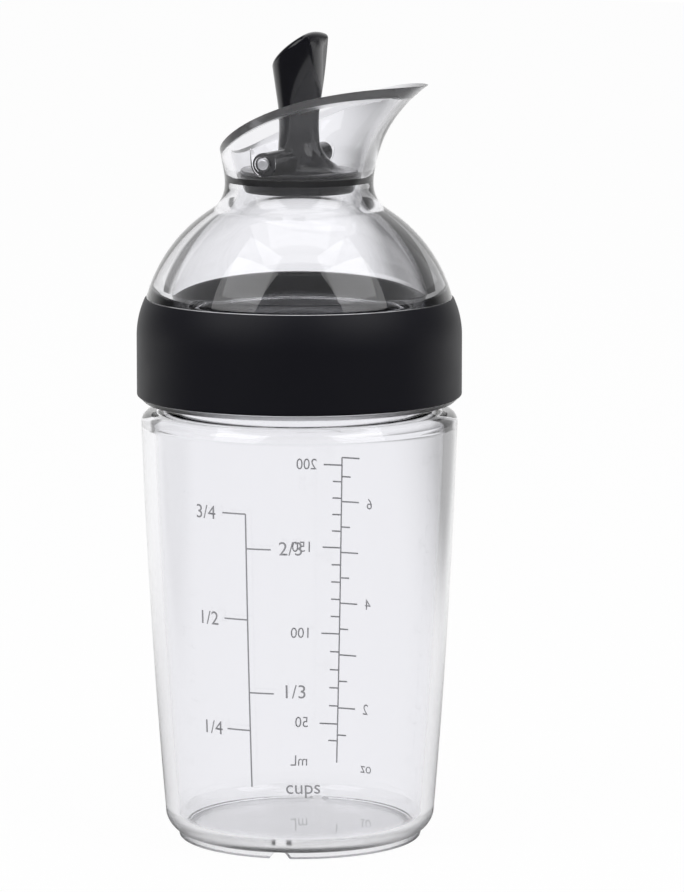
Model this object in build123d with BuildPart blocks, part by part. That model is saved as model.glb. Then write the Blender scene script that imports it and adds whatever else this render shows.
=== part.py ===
"""Shaker bottle for salad dressing, with a tilting stopper in its pouring spout.

Millimetres. The origin is the centre of the foot's bottom, +Z is up and the spout pours along +X.
"""
from build123d import *
import math
import os

# Bottle: its side bulges a little between the foot and the shoulder
shoulder_r = 33.7
shoulder_round = 1.5
body_height = 91.9
side_inset = 2.2
side_height = 43.5
base_inset = 5.0
base_height = 4.9
foot_inset = 2.8
foot_width = 2.4
foot_height = 1.4
foot_recess = 1.4
foot_round = 0.4
heel_curve = 5.4
body_wall = 2.85
floor_thickness = 1.7
floor_round = 3.6
shoulder_wall = 1.8
inner_shoulder_round = 1.2
mouth_inset = 5.8
mouth_wall = 3.3
mouth_length = 17.4
mouth_round = 0.7
notch_width = 4.2
notch_taper = 35.0
notch_count = 2
notch_turn = -73.6

# Lid shell: skirt, dome and neck are turned, and the spout is lofted
lid_gap = 2.0
thread_clearance = 1.4
skirt_wall = 2.7
lip_reach = 2.1
lip_slope = 1.2
lip_height = 1.2
dome_step = 0.45
dome_curve = 31.7
dome_rise = 20.4
dome_wall = 2.5
land_inset = 2.8
land_height = 8.0
land_round = 6.4
neck_share = 0.48536
neck_rise = 5.0
neck_wall = 2.65
throat_round = 6.4
inner_throat_round = 7.0
pin_bore_step = 1.1

# Spout: egg-shaped sections that widen upwards, cut off along a curved rim
spout_height = 20.4
spout_side_share = 0.2857
spout_side_power = 1.2
spout_tip_share = 0.5746
spout_tip_power = 2.8
spout_nose_angle = 30.0
spout_wall = 1.9
spout_steps = 6
rim_rear_share = 0.2402
rim_curve = 76.0
rim_round = 0.3
rim_bevel = 1.3
rim_trim = 1.0

# Soft band round the lid
band_height = 20.7
band_thickness = 2.5
band_top_step = 0.3
band_straight = 12.8
band_edge_round = 0.5
band_fit = 0.05

# Ring gasket between the lid and the bottle's mouth
gasket_thickness = 1.8
gasket_inset = 0.4
gasket_lap = 0.3
gasket_round = 0.5
seal_gap = 0.03

# Hinge of the stopper: it lies above the seal and a little behind the neck's axis
pin_above_seal = 4.1
pin_back = 1.0
pin_r = 1.6
pin_inset = 0.8
pin_dome = 0.6
pin_fit = 0.02
trunnion_r = 2.45
trunnion_inset = 0.2
channel_clearance = 0.3
channel_end_clearance = 0.5
dimple_clearance = 0.12
dimple_end_clearance = 0.15

# Stopper: a disc, its tapered seal ring and the cap that holds the ring on
disc_clearance = 0.6
disc_thickness = 1.1
disc_round = 0.3
seal_thickness = 1.6
seal_fit = 0.15
seal_flare = 0.18
seal_round = 0.3
boss_inset = 4.3
boss_fit = 0.04
cap_height = 2.3
cap_floor = 0.9
cap_taper = 1.0
cap_round = 0.4

# Lever: a waisted round post with a flat thumb face and a slanted, domed top
post_foot_r = 4.7
waist_r = 4.05
waist_height = 10.5
waist_round = 30.0
crown_r = 6.9
thumb_low_height = 14.3
thumb_low_x = 4.75
thumb_high_x = 4.6
lever_height = 30.4
top_curve = 24.0
top_centre_x = 13.9
top_centre_height = 7.55
top_round = 1.2
ramp_inset = 1.2
ramp_height = 7.7
ramp_half_width = 3.9
ramp_round_share = 0.6

overrun = 6.0

# Radii outwards from the bottle's shoulder, so that each piece fits the one inside it
side_r = shoulder_r - side_inset
base_r = shoulder_r - base_inset
foot_r = base_r - foot_inset
mouth_r = shoulder_r - mouth_inset
mouth_bore_r = mouth_r - mouth_wall
skirt_bore_r = mouth_r + thread_clearance
band_seat_r = skirt_bore_r + skirt_wall
lip_r = band_seat_r + lip_reach
lip_edge_r = lip_r - lip_slope
dome_r = band_seat_r + dome_step
band_r = band_seat_r + band_thickness
band_top_r = dome_r + band_top_step
land_r = mouth_bore_r + land_inset
gasket_r = skirt_bore_r - gasket_inset
gasket_bore_r = mouth_bore_r + gasket_lap

# Radii of the neck and of what turns in it
neck_r = dome_r * neck_share
bore_r = neck_r - neck_wall
pin_bore_r = bore_r + pin_bore_step
pin_half_length = neck_r - pin_inset
trunnion_half_length = pin_bore_r - trunnion_inset
disc_r = bore_r - disc_clearance
seal_top_r = bore_r + seal_flare
boss_r = bore_r - boss_inset
cap_bottom_r = disc_r - cap_taper
ramp_reach = disc_r - ramp_inset

# Reach of the spout's flare, which follows the neck, and the two ends of its rim
spout_side_flare = neck_r * spout_side_share
spout_tip_flare = neck_r * spout_tip_share
rim_tip_height = spout_height
rim_rear_height = rim_tip_height * rim_rear_share

# Heights of the stack, each from the piece below it
floor_z = foot_recess + floor_thickness
inner_top_z = body_height - shoulder_wall
mouth_z = body_height + mouth_length
lid_z = body_height + lid_gap
gasket_z = mouth_z + seal_gap
ledge_z = gasket_z + gasket_thickness + seal_gap
band_z = lid_z + lip_height
band_top_z = band_z + band_height
neck_root_z = band_top_z + dome_rise
seal_z = neck_root_z + neck_rise
pin_z = seal_z + pin_above_seal
disc_z = seal_z + seal_thickness / 2
disc_top_z = disc_z + disc_thickness
cap_top_z = seal_z - seal_thickness / 2
seat_z = cap_top_z
cap_z = cap_top_z - cap_height


def corner(outline, x, y):
    """The vertex of a sketch that lies nearest to a point."""
    return outline.vertices().sort_by_distance((x, y, 0))[0]


def egg(side, front):
    """Closed outline of the spout: a half circle behind, two flanks and a nose, all tangent."""
    angle = math.radians(spout_nose_angle)
    stretch = math.cos(angle) / (1 - math.sin(angle))
    nose = (side * stretch - front) / (stretch - 1)
    touch_x = front - nose + nose * math.cos(angle)
    touch_y = nose * math.sin(angle)
    ThreePointArc((0, side), (-side, 0), (0, -side))
    TangentArc((0, -side), (touch_x, -touch_y), tangent=(1, 0))
    ThreePointArc((touch_x, -touch_y), (front, 0), (touch_x, touch_y))
    TangentArc((0, side), (touch_x, touch_y), tangent=(1, 0))


def spout_size(share):
    """Half width and front reach of the spout's outside at a share of its height."""
    side = neck_r + spout_side_flare * share**spout_side_power
    front = side + spout_tip_flare * share**spout_tip_power
    return side, front


def spout_bore(share):
    """Half width and front reach of its inside, one wall in, square to the flare."""
    side, front = spout_size(share)
    low_side, low_front = spout_size(low_share)
    fade_share = (share - low_share) / (1 - low_share)
    wall = (low_side - pin_bore_r) * (1 - fade_share) + spout_wall * fade_share
    side_slope = spout_side_flare * spout_side_power * share ** (spout_side_power - 1)
    nose_slope = side_slope + spout_tip_flare * spout_tip_power * share ** (spout_tip_power - 1)
    side_wall = wall * math.hypot(1, fade_share * side_slope / spout_height)
    front_wall = wall * math.hypot(1, fade_share * nose_slope / spout_height)
    return side - side_wall, front - front_wall - (low_front - low_side) * (1 - fade_share)


# Bottle
with BuildPart() as bottle:
    with BuildSketch(Plane.XZ) as outside:
        with BuildLine():
            Polyline((0, 0), (foot_r, 0), (foot_r, foot_height))
            RadiusArc((foot_r, foot_height), (base_r, base_height), -heel_curve)
            ThreePointArc((base_r, base_height), (side_r, side_height), (shoulder_r, body_height))
            Polyline(
                (shoulder_r, body_height), (mouth_r, body_height), (mouth_r, mouth_z), (0, mouth_z), (0, 0)
            )
        make_face()
        fillet(corner(outside, foot_r, 0), foot_round)
        fillet(corner(outside, shoulder_r, body_height), shoulder_round)
        fillet(corner(outside, mouth_r, mouth_z), mouth_round)
    revolve(axis=Axis.Z)
    with BuildSketch(Plane.XZ) as inside:
        with BuildLine():
            ThreePointArc(
                (base_r - body_wall, floor_z),
                (side_r - body_wall, side_height),
                (shoulder_r - body_wall, inner_top_z),
            )
            Polyline(
                (shoulder_r - body_wall, inner_top_z),
                (mouth_bore_r, inner_top_z),
                (mouth_bore_r, mouth_z + overrun),
                (0, mouth_z + overrun),
                (0, floor_z),
                (base_r - body_wall, floor_z),
            )
        make_face()
        fillet(corner(inside, base_r - body_wall, floor_z), floor_round)
        fillet(corner(inside, shoulder_r - body_wall, inner_top_z), inner_shoulder_round)
        fillet(corner(inside, mouth_bore_r, inner_top_z), shoulder_round)
    revolve(axis=Axis.Z, mode=Mode.SUBTRACT)
    with BuildSketch(Plane.XY):
        Circle(foot_r - foot_width)
    extrude(amount=foot_recess, mode=Mode.SUBTRACT)
    with BuildSketch(Plane.XY):
        with PolarLocations(foot_r - foot_width / 2, notch_count, start_angle=notch_turn):
            Rectangle(2 * foot_width, notch_width)
    extrude(amount=foot_recess, taper=notch_taper, mode=Mode.SUBTRACT)
bottle.part.label = "bottle"


# Lid shell: the inside of the dome thickens to a land above the gasket
bore_root_z = neck_root_z - dome_wall / 2
land_z = ledge_z + land_height
low_share = pin_above_seal / spout_height
top_share = (rim_tip_height + rim_trim) / spout_height
with BuildPart() as lid_shell:
    with BuildSketch(Plane.XZ) as lid_half:
        with BuildLine():
            Polyline(
                (skirt_bore_r, lid_z),
                (lip_edge_r, lid_z),
                (lip_r, band_z),
                (band_seat_r, band_z),
                (band_seat_r, band_top_z),
                (dome_r, band_top_z),
            )
            RadiusArc((dome_r, band_top_z), (neck_r, neck_root_z), -dome_curve)
            Polyline(
                (neck_r, neck_root_z), (neck_r, seal_z), (bore_r, seal_z), (bore_r, bore_root_z)
            )
            RadiusArc((bore_r, bore_root_z), (land_r, land_z), dome_curve - dome_wall)
            Polyline(
                (land_r, land_z), (land_r, ledge_z), (skirt_bore_r, ledge_z), (skirt_bore_r, lid_z)
            )
        make_face()
        fillet(corner(lid_half, lip_edge_r, lid_z), lip_height / 2)
        fillet(corner(lid_half, neck_r, neck_root_z), throat_round)
        fillet(corner(lid_half, bore_r, bore_root_z), inner_throat_round)
        fillet(corner(lid_half, land_r, land_z), land_round)
    revolve(axis=Axis.Z)
    for step in range(spout_steps + 1):
        share = step / spout_steps * top_share
        with BuildSketch(Plane.XY.offset(seal_z + share * spout_height)):
            with BuildLine():
                egg(*spout_size(share))
            make_face()
    loft()
    with BuildSketch(Plane.XZ):
        with BuildLine():
            Polyline(
                (0, seat_z),
                (bore_r, seat_z),
                (pin_bore_r, pin_z),
                (0, pin_z),
                (0, seat_z),
            )
        make_face()
    revolve(axis=Axis.Z, mode=Mode.SUBTRACT)
    for step in range(spout_steps + 1):
        share = low_share + step / spout_steps * (top_share - low_share)
        with BuildSketch(Plane.XY.offset(seal_z + share * spout_height)):
            with BuildLine():
                egg(*spout_bore(share))
            make_face()
    loft(mode=Mode.SUBTRACT)
    rim_z = seal_z + rim_tip_height
    rim_rear_x = spout_size(rim_rear_height / spout_height)[0]
    rim_tip_x = spout_size(rim_tip_height / spout_height)[1]
    with BuildSketch(Plane.XZ):
        with BuildLine():
            RadiusArc((-rim_rear_x, seal_z + rim_rear_height), (rim_tip_x, rim_z), rim_curve)
            Polyline(
                (rim_tip_x, rim_z),
                (rim_tip_x + overrun, rim_z),
                (rim_tip_x + overrun, rim_z + overrun),
                (-rim_rear_x - overrun, rim_z + overrun),
                (-rim_rear_x - overrun, seal_z + rim_rear_height),
                (-rim_rear_x, seal_z + rim_rear_height),
            )
        make_face()
    extrude(amount=rim_tip_x, both=True, mode=Mode.SUBTRACT)
    rim_face = lid_shell.faces().filter_by(GeomType.CYLINDER).sort_by(Axis.Z)[-1]
    chamfer(rim_face.inner_wires()[0].edges(), rim_bevel)
    rim_face = lid_shell.faces().filter_by(GeomType.CYLINDER).sort_by(Axis.Z)[-1]
    fillet(rim_face.outer_wire().edges(), rim_round)
    channel_r = trunnion_r + channel_clearance
    with BuildSketch(Plane.XZ):
        with Locations((-pin_back, pin_z)):
            Circle(channel_r)
            Rectangle(2 * channel_r, rim_tip_height, align=(Align.CENTER, Align.MIN))
    extrude(amount=trunnion_half_length + channel_end_clearance, both=True, mode=Mode.SUBTRACT)
    with BuildSketch(Plane.XZ):
        with Locations((-pin_back, pin_z)):
            Circle(pin_r + dimple_clearance)
    extrude(amount=pin_half_length + dimple_end_clearance, both=True, mode=Mode.SUBTRACT)
lid_shell.part.label = "lid_shell"


# Soft grip band, seated in the recess round the lid
with BuildPart() as grip_band:
    with BuildSketch(Plane.XZ) as band_half:
        with BuildLine():
            Polyline(
                (band_seat_r + band_fit, band_top_z),
                (band_seat_r + band_fit, band_z),
                (band_r, band_z),
                (band_r, band_z + band_straight),
            )
            TangentArc(
                (band_r, band_z + band_straight), (band_top_r, band_top_z), tangent=(0, 1)
            )
            Line((band_top_r, band_top_z), (band_seat_r + band_fit, band_top_z))
        make_face()
        fillet(corner(band_half, band_r, band_z), band_edge_round)
    revolve(axis=Axis.Z)
grip_band.part.label = "grip_band"


# Gasket between the lid's ledge and the bottle's mouth
with BuildPart() as lid_gasket:
    with BuildSketch(Plane.XY.offset(gasket_z)):
        Circle(gasket_r)
        Circle(gasket_bore_r, mode=Mode.SUBTRACT)
    extrude(amount=gasket_thickness)
    fillet(lid_gasket.edges().filter_by(GeomType.CIRCLE), gasket_round)
lid_gasket.part.label = "lid_gasket"


# Lever: post, thumb face, foot ramp, trunnions, disc and boss in one moulding
pin_axis = Axis((-pin_back, 0, pin_z), (0, 1, 0))
waist_z = disc_top_z + waist_height
top_z = disc_top_z + lever_height
thumb_z = disc_top_z + thumb_low_height
top_centre_z = disc_top_z + top_centre_height
with BuildPart() as stopper_lever:
    with BuildSketch(Plane.XY.offset(disc_z)):
        Circle(disc_r)
    extrude(amount=disc_thickness)
    fillet(stopper_lever.edges().sort_by(Axis.Z)[-1], disc_round)
    with BuildSketch(Plane.XY.offset(disc_z)) as tongue:
        Rectangle(ramp_reach, 2 * ramp_half_width, align=(Align.MIN, Align.CENTER))
        fillet(tongue.vertices().group_by(Axis.X)[-1], ramp_half_width * ramp_round_share)
    extrude(amount=disc_thickness + ramp_height)
    with BuildSketch(Plane.XZ):
        with BuildLine():
            TangentArc(
                (waist_r, disc_top_z + ramp_height), (ramp_reach, disc_top_z), tangent=(0, -1)
            )
            Polyline(
                (ramp_reach, disc_top_z),
                (ramp_reach + overrun, disc_top_z),
                (ramp_reach + overrun, disc_top_z + ramp_height),
                (waist_r, disc_top_z + ramp_height),
            )
        make_face()
    revolve(axis=Axis.Z, mode=Mode.SUBTRACT)
    with BuildSketch(Plane.XZ) as post_half:
        with BuildLine():
            Polyline(
                (0, disc_z),
                (post_foot_r, disc_z),
                (post_foot_r, disc_top_z),
                (waist_r, waist_z),
                (crown_r, top_z),
                (0, top_z),
                (0, disc_z),
            )
        make_face()
        fillet(corner(post_half, waist_r, waist_z), waist_round)
    revolve(axis=Axis.Z)
    with BuildSketch(Plane.XZ):
        with BuildLine():
            Polyline(
                (thumb_high_x, top_z),
                (thumb_low_x, thumb_z),
                (crown_r + overrun, thumb_z),
                (crown_r + overrun, top_z),
                (thumb_high_x, top_z),
            )
        make_face()
    extrude(amount=crown_r, both=True, mode=Mode.SUBTRACT)
    with BuildSketch(Plane.XZ):
        with BuildLine():
            RadiusArc(
                (top_centre_x - top_curve, top_centre_z), (top_centre_x, top_centre_z + top_curve), top_curve
            )
            Polyline(
                (top_centre_x, top_centre_z + top_curve),
                (top_centre_x, top_centre_z + top_curve + overrun),
                (top_centre_x - top_curve - overrun, top_centre_z + top_curve + overrun),
                (top_centre_x - top_curve - overrun, top_centre_z),
                (top_centre_x - top_curve, top_centre_z),
            )
        make_face()
    revolve(axis=Axis((top_centre_x, 0, 0), (0, 0, 1)), mode=Mode.SUBTRACT)
    top_face = stopper_lever.faces().sort_by(Axis.Z)[-1]
    fillet(top_face.edges(), top_round)
    with BuildSketch(Plane.XY.offset(disc_z)):
        Circle(boss_r)
    extrude(amount=cap_z + cap_floor + boss_fit - disc_z)
    with BuildSketch(Plane.XZ):
        with Locations((-pin_back, pin_z)):
            Circle(trunnion_r)
    extrude(amount=trunnion_half_length, both=True)
    with BuildSketch(Plane.XZ):
        with Locations((-pin_back, pin_z)):
            Circle(pin_r + pin_fit)
    extrude(amount=trunnion_half_length, both=True, mode=Mode.SUBTRACT)
stopper_lever.part.label = "stopper_lever"


# Seal ring under the disc, and the cap that clamps it
with BuildPart() as stopper_seal:
    with BuildSketch(Plane.XZ) as seal_half:
        with BuildLine():
            Polyline(
                (boss_r + boss_fit, cap_top_z),
                (bore_r - seal_fit, cap_top_z),
                (seal_top_r, disc_z),
                (boss_r + boss_fit, disc_z),
                (boss_r + boss_fit, cap_top_z),
            )
        make_face()
        fillet(corner(seal_half, bore_r - seal_fit, cap_top_z), seal_round)
        fillet(corner(seal_half, seal_top_r, disc_z), seal_round)
    revolve(axis=Axis.Z)
stopper_seal.part.label = "stopper_seal"

with BuildPart() as seal_cap:
    with BuildSketch(Plane.XZ) as cap_half:
        with BuildLine():
            Polyline(
                (0, cap_z),
                (cap_bottom_r, cap_z),
                (disc_r, cap_top_z),
                (boss_r + boss_fit, cap_top_z),
                (boss_r + boss_fit, cap_z + cap_floor),
                (0, cap_z + cap_floor),
                (0, cap_z),
            )
        make_face()
        fillet(corner(cap_half, cap_bottom_r, cap_z), cap_round)
    revolve(axis=Axis.Z)
seal_cap.part.label = "seal_cap"


# Steel hinge pin with domed ends
with BuildPart() as hinge_pin:
    with BuildSketch(Plane.YZ.offset(-pin_back)):
        with BuildLine():
            Line((-pin_half_length, pin_z), (pin_half_length, pin_z))
            TangentArc(
                (pin_half_length, pin_z), (pin_half_length - pin_dome, pin_z + pin_r), tangent=(0, 1)
            )
            Line(
                (pin_half_length - pin_dome, pin_z + pin_r), (pin_dome - pin_half_length, pin_z + pin_r)
            )
            TangentArc(
                (-pin_half_length, pin_z), (pin_dome - pin_half_length, pin_z + pin_r), tangent=(0, 1)
            )
        make_face()
    revolve(axis=pin_axis)
hinge_pin.part.label = "hinge_pin"


# One STEP file for each piece
os.makedirs("parts", exist_ok=True)
pieces = (
    bottle,
    lid_shell,
    grip_band,
    lid_gasket,
    stopper_lever,
    stopper_seal,
    seal_cap,
    hinge_pin,
)
for piece in pieces:
    export_step(piece.part, f"parts/{piece.part.label}.step")
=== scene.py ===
"""Dressed model of a clear shaker bottle with a domed lid, a pouring spout and a tilting stopper.

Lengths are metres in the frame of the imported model: +Z is up and the spout pours along +X.
"""
import math

import bpy
from bpy.props import FloatProperty, FloatVectorProperty, IntProperty, PointerProperty
from bpy.types import Operator, Panel, PropertyGroup
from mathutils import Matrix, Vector


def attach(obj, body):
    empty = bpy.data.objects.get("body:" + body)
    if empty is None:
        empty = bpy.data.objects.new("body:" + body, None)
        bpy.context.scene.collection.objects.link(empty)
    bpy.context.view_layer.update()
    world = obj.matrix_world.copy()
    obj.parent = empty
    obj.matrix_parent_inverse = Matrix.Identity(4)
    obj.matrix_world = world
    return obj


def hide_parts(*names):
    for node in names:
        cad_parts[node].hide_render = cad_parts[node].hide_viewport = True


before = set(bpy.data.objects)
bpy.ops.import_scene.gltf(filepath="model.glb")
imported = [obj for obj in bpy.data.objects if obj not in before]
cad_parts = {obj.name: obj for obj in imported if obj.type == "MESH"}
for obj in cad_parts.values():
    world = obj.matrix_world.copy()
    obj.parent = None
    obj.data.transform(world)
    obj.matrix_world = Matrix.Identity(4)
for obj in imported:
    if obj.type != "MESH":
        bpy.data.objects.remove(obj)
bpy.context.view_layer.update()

bl_info = {
    "name": "Shaker Bottle",
    "version": (1, 0, 0),
    "blender": (4, 5, 0),
    "location": "View3D > Sidebar > Shaker",
    "description": "Builds the visible pieces of a clear shaker bottle round its packed frame",
    "category": "Object",
}

MM = 0.001

# Space between a rounding and its guard point, and how close points are when they are merged
GUARD = 0.25 * MM
WELD = 0.002 * MM
TIGHT_WELD = 0.00002 * MM

# Steps round the small turned pieces
RING_STEPS = 192
PIN_STEPS = 64

# Lines of the lid's skin: along its dome, its throat, one side of its spout and the seal's seat
DOME_STEPS = 40
THROAT_STEPS = 14
SPOUT_STEPS = 30
SEAT_STEPS = 8

# Marks of the printed scales, in millimetres: height, and where a mark starts and ends beside the line
CUP_LINE = (74.3, 16.0)
CUP_MARKS = [
    (74.3, -5.3, 0.0), (67.0, 0.0, 5.3), (51.9, -5.3, 0.0), (36.35, 0.0, 5.3), (28.2, -5.3, 0.0),
]
VOLUME_LINE = (77.0, 9.8)
MILLILITRE_HEIGHTS = (75.4, 57.2, 38.2, 18.3)
LAST_MILLILITRES = 14.6
OUNCE_HEIGHTS = (77.0, 67.4, 56.2, 45.0, 33.6, 21.9)
HALF_OUNCE_HEIGHTS = (72.9, 61.8, 50.6, 39.3, 27.8, 15.9)
LONG_MARK, SHORT_MARK = 4.4, 2.2

# Figures of the scales, with the way round from the line and the height of their middle, in millimetres
CUP_WORDS = [
    ("3/4", -9.5, 74.0), ("2/3", 9.5, 67.1), ("1/2", -9.3, 51.5), ("1/3", 9.6, 36.7),
    ("1/4", -9.0, 28.0), ("cups", 10.9, 16.1),
]
VOLUME_WORDS = [
    ("200", 8.4, 75.3), ("150", 9.2, 57.1), ("100", 9.2, 38.1), ("50", 8.6, 18.4), ("mL", 9.0, 9.9),
    ("6", -7.2, 67.1), ("4", -7.2, 45.0), ("2", -7.2, 21.9), ("oz", -7.8, 9.1),
]

# Parts of the floor, in metres to the right of and behind the object, each with its soft edge
FLOOR_RIGHT, FLOOR_AHEAD, FLOOR_BEHIND = (0.05, 0.22), (0.12, 0.32), (0.0, 0.3)

# Dark sides of the backdrop, in radians to the side and by the height of a direction, edge by edge
RIGHT_START, RIGHT_END = (0.2, 0.42), (0.9, 1.1)
LEFT_START, LEFT_END, LEFT_SHARE = (0.5, 0.62), (0.74, 0.9), 0.8
SIDE_FOOT, SIDE_HEAD = (-0.2, -0.04), (0.6, 0.85)

# How far a direction points along the line of sight where the room before the object ends, and
# where the wall behind it starts for glossy reflections
ROOM_END, WALL_START = (-0.6, -0.1), (0.5, 0.95)

# Lamps: name, swing and lift in degrees, distance, width and height in metres, power in watts
LAMPS = (
    ("soft_left", -53.0, 40.0, 1.2, 0.76, 0.8, 4.2),
    ("soft_right", 53.0, 40.0, 1.2, 0.76, 0.8, 4.2),
    ("soft_top", 0.0, 88.0, 1.3, 1.1, 1.1, 5.0),
)


# Property helpers

def length(name, text, millimetres):
    """A length property whose default is given in millimetres."""
    return FloatProperty(name=name, description=text, default=millimetres * MM, unit="LENGTH")


def number(name, text, value):
    """A plain number property."""
    return FloatProperty(name=name, description=text, default=value)


def turn(name, text, degrees):
    """An angle property whose default is given in degrees."""
    return FloatProperty(name=name, description=text, default=math.radians(degrees), subtype="ANGLE")


def colour(name, text, value):
    """A linear colour property."""
    return FloatVectorProperty(name=name, description=text, default=value, size=3, subtype="COLOR")


class BottleSizes(PropertyGroup):
    """Sizes of the bottle's body and mouth."""

    shoulder_radius: length("Shoulder radius", "Outside radius at the shoulder", 33.7)
    side_radius: length("Side radius", "Outside radius half way up", 31.5)
    base_radius: length("Base radius", "Outside radius just above the heel", 28.7)
    foot_radius: length("Foot radius", "Outside radius of the foot ring", 25.9)
    foot_width: length("Foot width", "Width of the foot ring", 2.4)
    foot_height: length("Foot height", "Height of the foot ring", 1.4)
    base_height: length("Base height", "Height where the heel meets the side", 4.9)
    side_height: length("Side height", "Height at which the side radius is measured", 43.5)
    height: length("Height", "Height of the shoulder", 91.9)
    wall: length("Wall", "Thickness of the side wall", 2.85)
    floor: length("Floor", "Height of the inside floor", 3.1)
    shoulder_wall: length("Shoulder wall", "Thickness of the shoulder", 1.2)
    mouth_radius: length("Mouth radius", "Outside radius of the mouth", 27.9)
    mouth_bore: length("Mouth bore", "Inside radius of the mouth", 24.6)
    mouth_top: length("Mouth top", "Height of the mouth's rim", 109.3)
    notch_turn: turn("Notch turn", "Direction of the first drain notch", -73.6)
    notch_width: length("Notch width", "Width of a drain notch at the table", 4.2)
    steps: IntProperty(name="Steps", description="Steps of the turned surfaces", default=192)


class LidSizes(PropertyGroup):
    """Sizes of the lid's skirt, dome and neck."""

    bottom: length("Bottom", "Height of the lid's lower edge", 93.9)
    skirt_bore: length("Skirt bore", "Inside radius of the skirt", 29.3)
    lip_radius: length("Lip radius", "Radius of the lip under the band", 34.1)
    lip_edge: length("Lip edge", "Radius of the lip's lower edge", 32.9)
    seat_radius: length("Seat radius", "Radius of the recess behind the band", 32.0)
    seat_bottom: length("Seat bottom", "Height of the recess's lower end", 95.1)
    seat_top: length("Seat top", "Height of the recess's upper end", 115.8)
    dome_radius: length("Dome radius", "Radius at the foot of the dome", 32.45)
    dome_curve: length("Dome curve", "Radius of the dome's arc", 31.7)
    inner_curve: length("Inner curve", "Radius of the arc of the dome's inside", 31.6)
    inner_root: length("Inner root", "Height where the dome's inside meets the bore", 135.2)
    land_radius: length("Land radius", "Inside radius above the gasket", 27.2)
    land_top: length("Land top", "Height where the land meets the dome's inside", 116.6)
    ledge: length("Ledge", "Height of the ledge on the gasket", 111.16)
    neck_radius: length("Neck radius", "Outside radius of the neck", 15.75)
    neck_root: length("Neck root", "Height where the dome would meet the neck", 136.2)
    throat_round: length("Throat round", "Rounding between dome and neck", 6.4)
    throat_inner: length("Throat inner", "Rounding between the dome's inside and the bore", 7.0)
    bore: length("Bore", "Inside radius of the neck below the seal", 13.1)
    seat_foot: length("Seat foot", "Height where the seal's seat starts to widen", 140.4)
    seal_height: length("Seal height", "Height of the seal's middle", 141.2)
    steps: IntProperty(name="Steps", description="Steps round the lid", default=288)


class SpoutSizes(PropertyGroup):
    """Sizes of the flared spout above the seal."""

    height: length("Height", "Height of the spout's tip above the seal", 20.4)
    side_flare: length("Side flare", "How far the sides lean out at the tip's height", 4.5)
    side_power: number("Side power", "How late the sides lean out", 1.2)
    tip_flare: length("Tip flare", "How much further the tip reaches than the sides", 9.05)
    tip_power: number("Tip power", "How late the tip reaches out", 2.8)
    nose_angle: turn("Nose angle", "Half of the angle that the nose's arc spans", 30.0)
    wall: length("Wall", "Thickness of the spout's wall at the rim", 1.9)
    pin_bore: length("Pin bore", "Inside radius at the hinge pin", 14.2)
    rear_height: length("Rear height", "Height of the rim's rear above the seal", 4.9)
    rim_curve: length("Rim curve", "Radius of the curve along which the rim is cut", 76.0)
    rim_round: length("Rim round", "Rounding of the rim's edges", 0.35)
    rim_bevel: length("Rim bevel", "How much lower the rim's inner edge lies", 1.6)


class HingeSizes(PropertyGroup):
    """Sizes of the stopper's hinge, its seal and the band."""

    pin_height: length("Pin height", "Height of the hinge pin", 145.3)
    pin_back: length("Pin back", "How far the pin lies behind the neck's axis", 1.0)
    pin_radius: length("Pin radius", "Radius of the hinge pin", 1.6)
    pin_half: length("Pin half length", "Half of the pin's length", 14.95)
    channel_radius: length("Channel radius", "Half width of the channel for the trunnion", 2.75)
    channel_half: length("Channel half length", "Half of the way across both channels", 14.5)
    dimple_radius: length("Dimple radius", "Radius of the pin's blind hole", 1.72)
    dimple_half: length("Dimple half length", "Half of the way across both blind holes", 15.1)
    seal_inner: length("Seal inner", "Inside radius of the seal ring", 8.84)
    seal_lap: length("Seal lap", "How far the seal presses into its seat", 0.03)
    seal_bottom: length("Seal bottom", "Height of the seal's underside", 140.4)
    seal_top: length("Seal top", "Height of the seal's upper side", 142.0)


class BandSizes(PropertyGroup):
    """Sizes of the grip band and the gasket."""

    inner: length("Inner", "Inside radius of the band", 32.05)
    outer: length("Outer", "Outside radius of the band", 34.5)
    top_radius: length("Top radius", "Outside radius of the band's top edge", 32.75)
    bottom: length("Bottom", "Height of the band's lower edge", 95.1)
    top: length("Top", "Height of the band's upper edge", 115.8)
    straight: length("Straight", "Height of the band's straight part", 12.8)
    edge: length("Edge", "Rounding of the band's lower edge", 0.5)
    gasket_outer: length("Gasket outer", "Outside radius of the gasket", 28.9)
    gasket_inner: length("Gasket inner", "Inside radius of the gasket", 24.9)
    gasket_bottom: length("Gasket bottom", "Height of the gasket's underside", 109.33)
    gasket_top: length("Gasket top", "Height of the gasket's upper side", 111.13)


class PrintSizes(PropertyGroup):
    """Sizes of the printed scales."""

    line: length("Line", "Width of the printed lines", 0.32)
    skin: length("Skin", "Depth of the print across the wall's surface", 0.03)
    cup_text: length("Cup text", "Height of the figures on the cup scale", 4.1)
    volume_text: length("Volume text", "Height of the figures on the volume scale", 3.3)
    cup_turn: turn("Cup turn", "Direction of the cup scale's line", -83.8)
    volume_turn: turn("Volume turn", "Direction of the volume scale's line", 98.6)


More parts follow.
